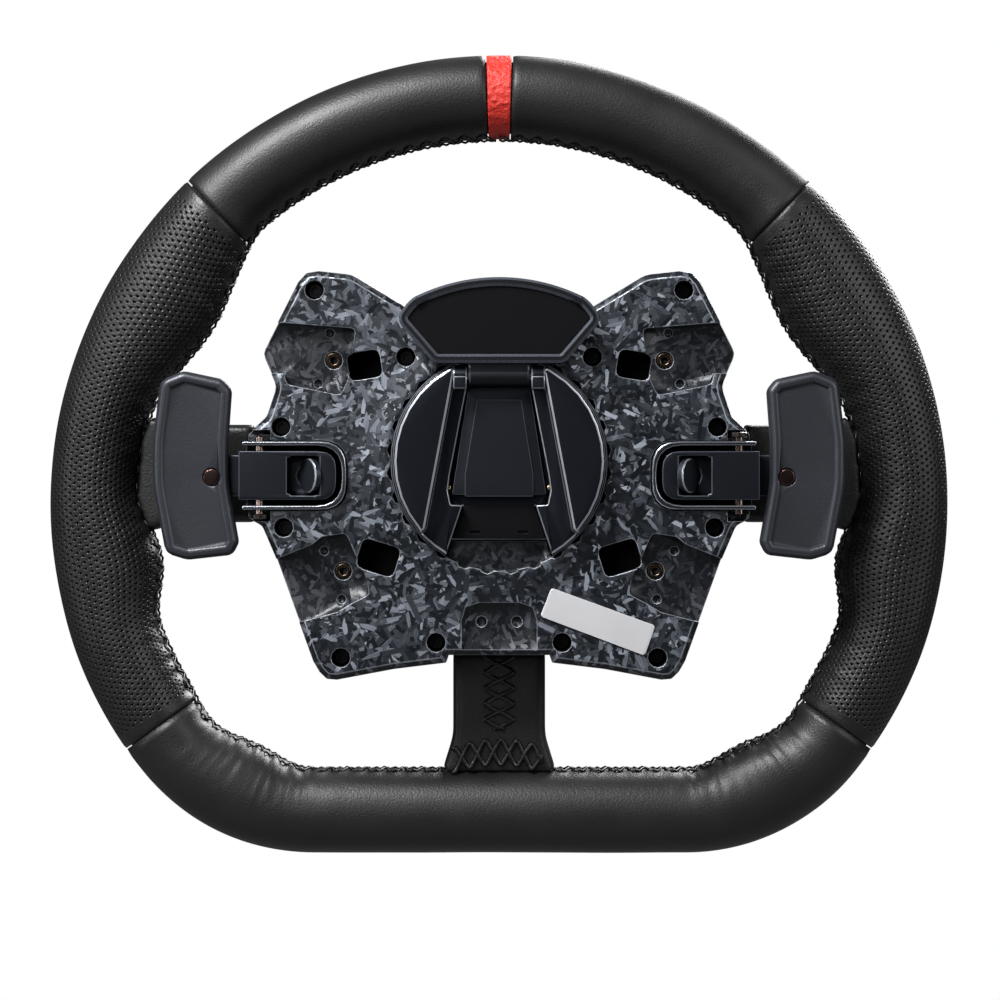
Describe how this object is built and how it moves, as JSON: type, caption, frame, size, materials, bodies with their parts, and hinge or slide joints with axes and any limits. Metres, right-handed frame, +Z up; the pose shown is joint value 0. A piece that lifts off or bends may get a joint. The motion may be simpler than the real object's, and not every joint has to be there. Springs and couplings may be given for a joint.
{
  "type": "racing wheel",
  "caption": "Flat-bottomed leather sim racing wheel with a composite housing, sprung shift paddles, push buttons, rotary knobs and a lever quick release.",
  "frame": {"origin": "on the hub axis, at the rear face of the quick release's clamp plate", "axes": "+Z up, +Y towards the driver, +X to the right as seen from behind the wheel, so the quick release faces -Y"},
  "size_m": [0.3168, 0.0716, 0.2816],
  "materials": {
    "leather": "smooth black leather with a fine grain and a low sheen",
    "perforated_leather": "black leather with a staggered grid of small holes",
    "red_leather": "red leather with a coarse grain",
    "foam": "dense moulded foam",
    "composite": "forged carbon composite, chopped flakes under a satin clear coat",
    "black_metal": "satin black anodised aluminium",
    "paddle_metal": "satin blue-grey anodised aluminium",
    "aluminium": "milled",
    "steel": "satin plated steel",
    "brass": "turned",
    "black_plastic": "fine matt texture",
    "board": "solder mask",
    "label": "blank silver label",
    "button_plastic": "moulded, fine texture",
    "lens": "smoked light strip"
  },
  "bodies": {
    "wheel": {"rim_skeleton": "aluminium", "rim_foam": "foam", "leather_top_left": "leather", "leather_grip_left": "perforated_leather", "spoke_leather_left": "perforated_leather", "leather_top_right": "leather", "leather_grip_right": "perforated_leather", "spoke_leather_right": "perforated_leather", "centre_band": "red_leather", "leather_bottom": "leather", "spoke_leather_bottom": "leather", "back_shell": "composite", "front_shell": "black_plastic", "circuit_board": "board", "label_plate": "label", "light_strip": "lens", "insert_upper_left": "brass", "insert_lower_left": "brass", "insert_upper_right": "brass", "insert_lower_right": "brass", "hub_disc": "black_metal", "lever_pin": "steel", "contact_block": "black_plastic", "plunger_left": "brass", "plunger_right": "brass", "paddle_bracket_left": "steel", "pivot_pin_left": "steel", "fixed_magnet_left": "steel", "paddle_bracket_right": "steel", "pivot_pin_right": "steel", "fixed_magnet_right": "steel"},
    "lever": {"release_lever": "black_metal", "lever_panel": "black_plastic"},
    "clamp": {"clamp_plate": "black_metal"},
    "paddle_left": {"paddle_arm_left": "paddle_metal", "paddle_blade_left": "paddle_metal", "blade_screw_left": "brass", "arm_magnet_left": "black_metal"},
    "paddle_right": {"paddle_arm_right": "paddle_metal", "paddle_blade_right": "paddle_metal", "blade_screw_right": "brass", "arm_magnet_right": "black_metal"},
    "button_1": {"button_1": "button_plastic"},
    "button_2": {"button_2": "button_plastic"},
    "button_3": {"button_3": "button_plastic"},
    "button_4": {"button_4": "button_plastic"},
    "button_5": {"button_5": "button_plastic"},
    "button_6": {"button_6": "button_plastic"},
    "button_7": {"button_7": "button_plastic"},
    "button_8": {"button_8": "button_plastic"},
    "button_9": {"button_9": "button_plastic"},
    "button_10": {"button_10": "button_plastic"},
    "knob_left": {"knob_left": "button_plastic"},
    "knob_right": {"knob_right": "button_plastic"},
    "knob_middle": {"knob_middle": "button_plastic"}
  },
  "joints": [
    {"name": "lever_flip", "type": "hinge", "parent": "wheel", "child": "lever", "pos_m": [0, -0.003, 0.0287], "axis": [1, 0, 0], "range_deg": [0, 60]},
    {"name": "clamp_release", "type": "slide", "parent": "wheel", "child": "clamp", "axis": [0, 1, 0], "range_m": [0, 0.0012]},
    {"name": "paddle_left_pull", "type": "hinge", "parent": "wheel", "child": "paddle_left", "pos_m": [-0.0817, 0.005, -0.0047], "axis": [0, 0, -1], "range_deg": [0, 6], "stiffness_Nm_per_rad": 0.4},
    {"name": "paddle_right_pull", "type": "hinge", "parent": "wheel", "child": "paddle_right", "pos_m": [0.0817, 0.005, -0.0047], "axis": [0, 0, 1], "range_deg": [0, 6], "stiffness_Nm_per_rad": 0.4},
    {"name": "button_1_press", "type": "slide", "parent": "wheel", "child": "button_1", "axis": [0, -1, 0], "range_m": [0, 0.0015], "stiffness_N_per_m": 400},
    {"name": "button_2_press", "type": "slide", "parent": "wheel", "child": "button_2", "axis": [0, -1, 0], "range_m": [0, 0.0015], "stiffness_N_per_m": 400},
    {"name": "button_3_press", "type": "slide", "parent": "wheel", "child": "button_3", "axis": [0, -1, 0], "range_m": [0, 0.0015], "stiffness_N_per_m": 400},
    {"name": "button_4_press", "type": "slide", "parent": "wheel", "child": "button_4", "axis": [0, -1, 0], "range_m": [0, 0.0015], "stiffness_N_per_m": 400},
    {"name": "button_5_press", "type": "slide", "parent": "wheel", "child": "button_5", "axis": [0, -1, 0], "range_m": [0, 0.0015], "stiffness_N_per_m": 400},
    {"name": "button_6_press", "type": "slide", "parent": "wheel", "child": "button_6", "axis": [0, -1, 0], "range_m": [0, 0.0015], "stiffness_N_per_m": 400},
    {"name": "button_7_press", "type": "slide", "parent": "wheel", "child": "button_7", "axis": [0, -1, 0], "range_m": [0, 0.0015], "stiffness_N_per_m": 400},
    {"name": "button_8_press", "type": "slide", "parent": "wheel", "child": "button_8", "axis": [0, -1, 0], "range_m": [0, 0.0015], "stiffness_N_per_m": 400},
    {"name": "button_9_press", "type": "slide", "parent": "wheel", "child": "button_9", "axis": [0, -1, 0], "range_m": [0, 0.0015], "stiffness_N_per_m": 400},
    {"name": "button_10_press", "type": "slide", "parent": "wheel", "child": "button_10", "axis": [0, -1, 0], "range_m": [0, 0.0015], "stiffness_N_per_m": 400},
    {"name": "knob_left_turn", "type": "hinge", "parent": "wheel", "child": "knob_left", "pos_m": [-0.058, 0.055, -0.026], "axis": [0, 1, 0], "continuous": true},
    {"name": "knob_right_turn", "type": "hinge", "parent": "wheel", "child": "knob_right", "pos_m": [0.058, 0.055, -0.026], "axis": [0, 1, 0], "continuous": true},
    {"name": "knob_middle_turn", "type": "hinge", "parent": "wheel", "child": "knob_middle", "pos_m": [0, 0.055, -0.046], "axis": [0, 1, 0], "continuous": true}
  ],
  "couplings": [
    {"joint": "clamp_release", "follows": "lever_flip", "m_per_rad": 0.001145}
  ]
}
